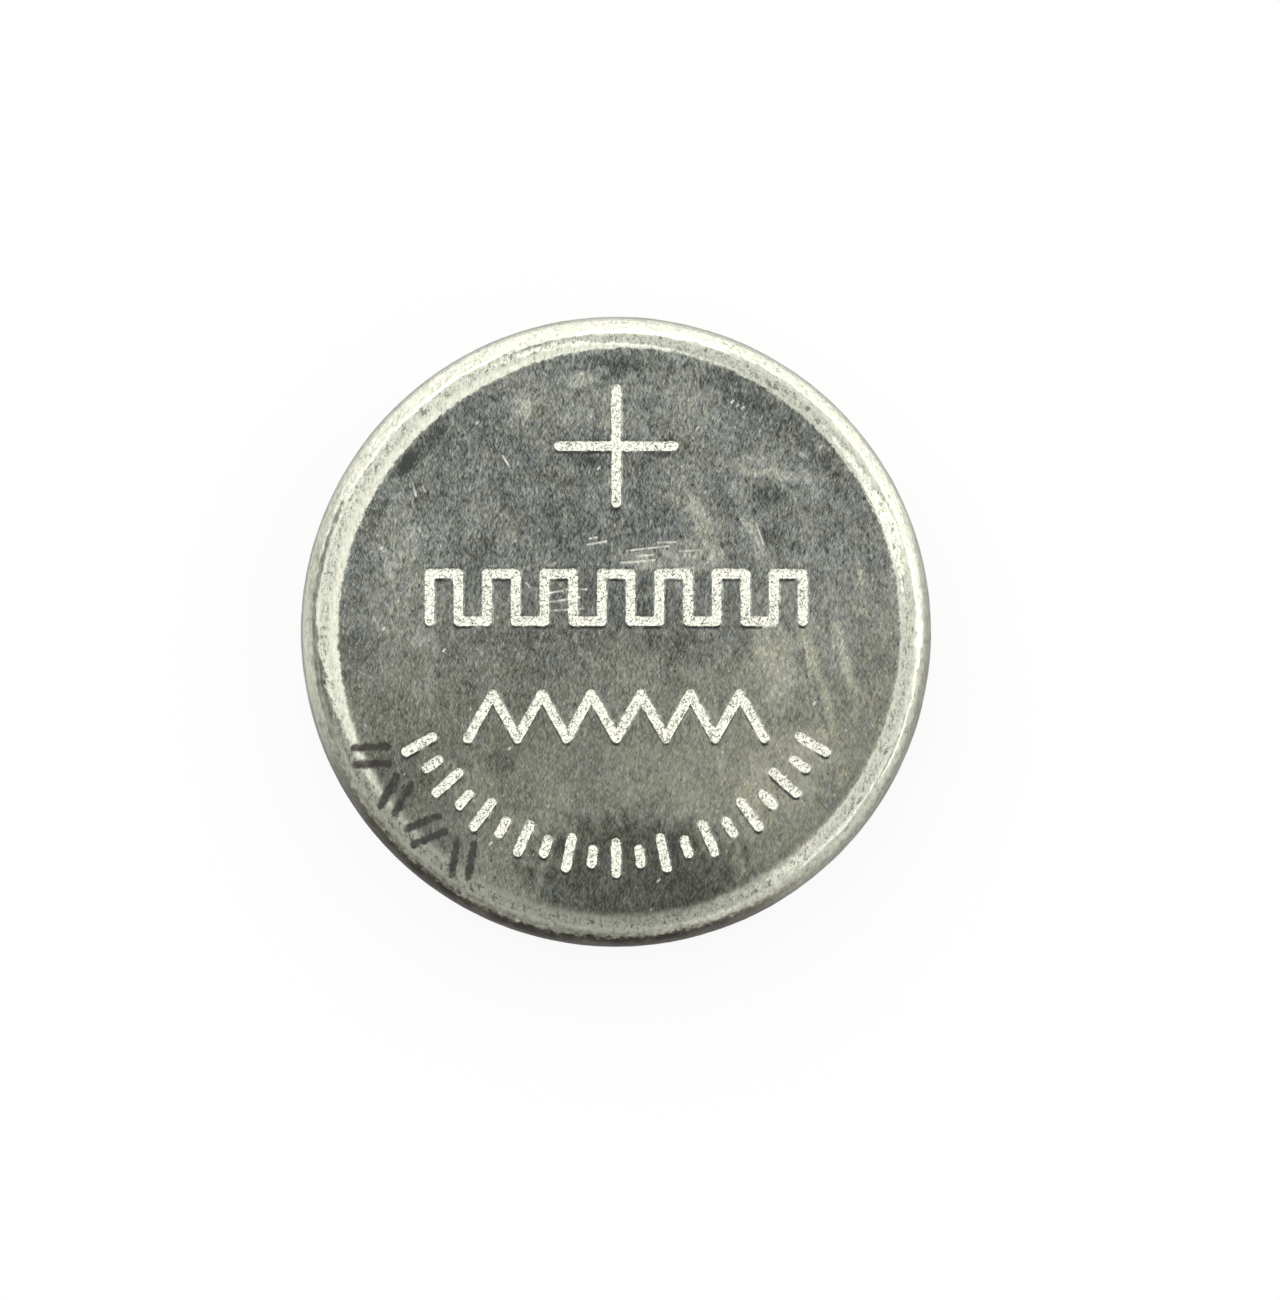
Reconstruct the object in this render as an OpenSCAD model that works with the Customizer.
// Coin-shaped rechargeable cell of a solar watch, sold as its capacitor: a pressed steel can with
// the positive face on top, a pressed steel cap under it as the negative terminal, a moulded
// gasket between the two, and the electrode stack that they hold. The can's mouth is crimped
// over the gasket. All pieces are turned about Z, in millimetres. The origin is the centre of
// the negative terminal, which the cell stands on, and the positive face looks up.

/* [Cell] */
// Outer diameter of the cell
cell_d = 9.5; // [9.2:0.05:12.5]
// Height over both terminals
cell_h = 2.05; // [1.9:0.05:3]

/* [Positive can] */
// Thickness of the can's sheet
can_wall = 0.2; // [0.14:0.01:0.24]
// Outer radius of the rounded edge round the positive face
can_edge_r = 0.6; // [0.4:0.05:0.7]
// Outer radius of the bend that turns the can's mouth in over the gasket
crimp_r = 0.45; // [0.35:0.05:0.5]
// Width of the ring of lip that lies flat beyond that bend
lip_w = 0.28; // [0.16:0.02:0.36]

/* [Negative cap] */
// Thickness of the cap's sheet
cap_wall = 0.18; // [0.12:0.01:0.2]
// How far the negative terminal stands out beyond the can's lip
cap_stand = 0.2; // [0.12:0.01:0.3]
// Width of the ring of gasket that shows between the lip and the negative terminal
seal_gap = 0.26; // [0.15:0.01:0.35]
// Outer radius of the rounded edge round the negative terminal
crown_edge_r = 0.25; // [0.22:0.01:0.35]
// Radius in the corner between the terminal's wall and the cap's flange
step_r = 0.08; // [0.05:0.01:0.12]
// Outer radius of the bend from the cap's flange to its skirt
skirt_bend_r = 0.26; // [0.22:0.01:0.35]

/* [Gasket] */
// Thickness of the gasket between the can's wall and the cap's skirt
gasket_wall = 0.3; // [0.2:0.02:0.34]
// Thickness of the gasket between the can's lip and the cap's flange
gasket_seat = 0.18; // [0.1:0.01:0.25]
// Thickness of the gasket between the can's floor and the edge of the cap's skirt
gasket_foot = 0.25; // [0.15:0.01:0.35]
// How far the ring of gasket that shows lies behind the face of the can's lip
gasket_setback = 0.07; // [0.03:0.01:0.12]
// Thickness of the gasket's short wall inside the cap's skirt
gasket_lip_w = 0.22; // [0.12:0.02:0.3]
// Gap between that short wall and the skirt
gasket_lip_gap = 0.08; // [0.04:0.01:0.12]

/* [Electrode stack] */
// Gap between the gasket's short wall and the tray that holds the positive pellet
tray_gap = 0.3; // [0.15:0.01:0.5]
// Thickness of the tray's foil
tray_wall = 0.06; // [0.04:0.01:0.1]
// Height of the tray's rim
tray_h = 0.3; // [0.2:0.02:0.4]
// Thickness of the positive pellet, which fills the tray
positive_pellet_h = 0.66; // [0.5:0.02:0.74]
// Thickness of the separator
separator_h = 0.12; // [0.06:0.02:0.16]
// Gap between the separator's edge and the cap's skirt
separator_gap = 0.1; // [0.05:0.01:0.2]
// Gap between the negative pellet and the wall of the negative terminal round it
negative_pellet_gap = 0.33; // [0.15:0.01:0.5]
// Width of the bevel round the ends of both pellets
pellet_bevel = 0.06; // [0.02:0.01:0.1]
// Thickness of the layer of carbon paste that bonds the negative pellet to the cap
paste_h = 0.05; // [0.02:0.01:0.08]
// How far the paste ends inside the edge of the negative pellet
paste_inset = 0.25; // [0.1:0.05:0.5]

/* [Marks on the positive face] */
// Depth of the laser-cut marks
mark_depth = 0.02; // [0.01:0.005:0.04]
// Width of the strokes of the marks
mark_stroke = 0.15; // [0.1:0.01:0.2]
// Span of the plus sign, across and down
plus_span = 1.86; // [1.2:0.02:2]
// Plain metal between the plus sign and the rounded edge
plus_margin = 0.45; // [0.3:0.05:0.6]
// Distance of the square wave's centre line above the middle of the face
wave_y = 0.5; // [0.4:0.05:0.6]
// Height of the square wave
wave_h = 0.86; // [0.6:0.02:0.9]
// Spacing of the square wave's upright strokes
wave_pitch = 0.43; // [0.36:0.01:0.5]
// Number of links in the square wave
wave_links = 13; // [9:2:13]
// Distance of the zigzag's centre line below the middle of the face
zigzag_y = 1.28; // [1.2:0.02:1.4]
// Height of the zigzag's centre line
zigzag_h = 0.66; // [0.5:0.02:0.7]
// Width of one leg of the zigzag
zigzag_pitch = 0.37; // [0.32:0.01:0.42]
// Number of legs in the zigzag
zigzag_legs = 12; // [8:2:12]
// Length of the longer strokes in the arc of ticks
tick_length = 0.6; // [0.4:0.05:0.6]
// Length of the shorter strokes in the arc of ticks
short_tick_length = 0.36; // [0.3:0.02:0.4]
// Plain metal between the arc of ticks and the rounded edge
tick_margin = 0.45; // [0.35:0.05:0.6]
// Angle from one tick to the next, in degrees
tick_step = 6; // [5:0.5:8]
// Number of ticks on each side of the middle one
side_ticks = 10; // [6:1:10]

/* [Hidden] */
$fn = 128;

// Radii from the axis, from the can inwards.
can_r = cell_d / 2;
can_in_r = can_r - can_wall;
face_r = can_r - can_edge_r;
lip_r = can_r - crimp_r - lip_w;
crown_r = lip_r - seal_gap;
skirt_r = can_in_r - gasket_wall;
skirt_in_r = skirt_r - cap_wall;
gasket_lip_r = skirt_in_r - gasket_lip_gap;
gasket_in_r = gasket_lip_r - gasket_lip_w;
separator_r = skirt_in_r - separator_gap;
tray_r = gasket_in_r - tray_gap;
positive_pellet_r = tray_r - tray_wall;
negative_pellet_r = crown_r - cap_wall - negative_pellet_gap;
paste_r = negative_pellet_r - paste_inset;

// Heights above the negative terminal, from the bottom up.
gasket_low_z = cap_stand + gasket_setback;
lip_top_z = cap_stand + can_wall;
flange_z = lip_top_z + gasket_seat;
stack_low_z = cap_wall;
negative_z = stack_low_z + paste_h;
floor_z = cell_h - can_wall;
skirt_top_z = floor_z - gasket_foot;
positive_top_z = floor_z - tray_wall;
positive_z = positive_top_z - positive_pellet_h;
separator_z = positive_z - separator_h;

// A cutter reaches this far past what it cuts.
over = 0.1;

// A quarter of a disc in the corner that looks along the signs of x and y.
module quarter_disc(r, x = 1, y = 1) {
    intersection() {
        circle(r);
        translate([x > 0 ? 0 : -2 * r, y > 0 ? 0 : -2 * r]) square(2 * r);
    }
}

// A quarter turn of bent sheet, with its outer radius r and its thickness t.
module bend(r, t, x = 1, y = 1) {
    difference() {
        quarter_disc(r, x, y);
        circle(r - t);
    }
}

// Half the section of a disc from the axis out to r, with one rounded edge, at the top or foot.
module half_disc(r, z0, z1, edge_r, at_top) {
    edge_z = at_top ? z1 - edge_r : z0 + edge_r;
    translate([0, z0]) square([r - edge_r, z1 - z0]);
    translate([r - edge_r, at_top ? z0 : edge_z]) square([edge_r, z1 - z0 - edge_r]);
    translate([r - edge_r, edge_z]) quarter_disc(edge_r, 1, at_top ? 1 : -1);
}

// The space inside the can, from its floor down through the opening in its lip.
module can_space() {
    intersection() {
        half_disc(can_in_r, lip_top_z, floor_z, can_edge_r - can_wall, true);
        half_disc(can_in_r, lip_top_z, floor_z, crimp_r - can_wall, false);
    }
    translate([0, cap_stand]) square([lip_r, can_wall]);
}

// The cap with its hollow filled: the terminal, the corner under the flange, and the skirt.
module cap_filled() {
    half_disc(crown_r, 0, flange_z, crown_edge_r, false);
    difference() {
        translate([crown_r, flange_z - step_r]) square(step_r);
        translate([crown_r + step_r, flange_z - step_r]) circle(step_r);
    }
    half_disc(skirt_r, flange_z, skirt_top_z, skirt_bend_r, false);
}

// One continuous sheet: face, rounded edge, wall, crimp and lip.
module can_section() {
    translate([0, floor_z]) square([face_r, can_wall]);
    translate([face_r, cell_h - can_edge_r]) bend(can_edge_r, can_wall);
    translate([can_in_r, cap_stand + crimp_r])
        square([can_wall, cell_h - can_edge_r - cap_stand - crimp_r]);
    translate([can_r - crimp_r, cap_stand + crimp_r]) bend(crimp_r, can_wall, 1, -1);
    translate([lip_r, cap_stand]) square([lip_w, can_wall]);
}

// One continuous sheet: terminal, its wall, the flange that the crimp holds, and the skirt.
module cap_section() {
    square([crown_r - crown_edge_r, cap_wall]);
    translate([crown_r - crown_edge_r, crown_edge_r]) bend(crown_edge_r, cap_wall, 1, -1);
    translate([crown_r - cap_wall, crown_edge_r])
        square([cap_wall, flange_z - step_r - crown_edge_r]);
    translate([crown_r + step_r, flange_z - step_r]) bend(step_r + cap_wall, cap_wall, -1, 1);
    translate([crown_r + step_r, flange_z])
        square([skirt_r - skirt_bend_r - crown_r - step_r, cap_wall]);
    translate([skirt_r - skirt_bend_r, flange_z + skirt_bend_r])
        bend(skirt_bend_r, cap_wall, 1, -1);
    translate([skirt_in_r, flange_z + skirt_bend_r])
        square([cap_wall, skirt_top_z - flange_z - skirt_bend_r]);
}

// What the can and the cap squeeze between them, and the short wall that hangs from its foot.
module gasket_section() {
    difference() {
        can_space();
        square([lip_r, gasket_low_z]);
        cap_filled();
        translate([0, skirt_top_z]) square([gasket_in_r, gasket_foot]);
    }
    translate([gasket_in_r, positive_z]) square([gasket_lip_w, skirt_top_z - positive_z]);
}

// Two crossed strokes.
module plus_mark() {
    translate([0, face_r - plus_margin - plus_span / 2]) {
        square([plus_span, mark_stroke], center = true);
        square([mark_stroke, plus_span], center = true);
    }
}

// Upright strokes joined in turn at the top and at the foot.
module wave_mark() {
    translate([0, wave_y]) {
        for (i = [0 : wave_links])
            translate([(i - wave_links / 2) * wave_pitch, 0])
                square([mark_stroke, wave_h], center = true);
        for (i = [0 : wave_links - 1])
            translate([(i - (wave_links - 1) / 2) * wave_pitch,
                       (i % 2 == 0 ? 1 : -1) * (wave_h - mark_stroke) / 2])
                square([wave_pitch, mark_stroke], center = true);
    }
}

// One stroke that runs up and down at a constant slope, with plumb ends.
module zigzag_mark() {
    half_cut = mark_stroke / 2 / cos(atan2(zigzag_h, zigzag_pitch));
    corners = [for (i = [0 : zigzag_legs])
        [(i - zigzag_legs / 2) * zigzag_pitch, (i % 2 == 0 ? -1 : 1) * zigzag_h / 2]];
    translate([0, -zigzag_y])
        polygon(concat(
            [for (i = [0 : zigzag_legs]) corners[i] - [0, half_cut]],
            [for (i = [zigzag_legs : -1 : 0]) corners[i] + [0, half_cut]]));
}

// Radial strokes along the foot of the face, long and short in turn.
module tick_mark() {
    for (i = [-side_ticks : side_ticks]) {
        length = i % 2 == 0 ? tick_length : short_tick_length;
        rotate(270 + i * tick_step)
            translate([face_r - tick_margin - tick_length / 2, 0])
                square([length, mark_stroke], center = true);
    }
}

module marks() {
    translate([0, 0, cell_h - mark_depth])
        linear_extrude(mark_depth + over) {
            plus_mark();
            wave_mark();
            zigzag_mark();
            tick_mark();
        }
}

// A pressed disc with a bevel round both ends.
module pellet(r, z0, z1) {
    rotate_extrude()
        polygon([
            [0, z0], [r - pellet_bevel, z0], [r, z0 + pellet_bevel],
            [r, z1 - pellet_bevel], [r - pellet_bevel, z1], [0, z1],
        ]);
}

module positive_can() {
    color("#9c9d92")
        difference() {
            rotate_extrude() can_section();
            marks();
        }
}

module gasket() {
    color("#d9dbd2") rotate_extrude() gasket_section();
}

module negative_cap() {
    color("#b4b4a8") rotate_extrude() cap_section();
}

// A shallow tray against the can's floor, open towards the separator.
module positive_collector() {
    color("#a7a8a3")
        rotate_extrude() {
            translate([0, positive_top_z]) square([tray_r, tray_wall]);
            translate([tray_r - tray_wall, floor_z - tray_h])
                square([tray_wall, tray_h - tray_wall]);
        }
}

module positive_pellet() {
    color("#26272a") pellet(positive_pellet_r, positive_z, positive_top_z);
}

module separator() {
    color("#e9e7de") translate([0, 0, separator_z]) cylinder(h = separator_h, r = separator_r);
}

module negative_pellet() {
    color("#5b5e63") pellet(negative_pellet_r, negative_z, separator_z);
}

module negative_paste() {
    color("#1d1d1f") translate([0, 0, stack_low_z]) cylinder(h = paste_h, r = paste_r);
}

positive_can();
gasket();
negative_cap();
positive_collector();
positive_pellet();
separator();
negative_pellet();
negative_paste();
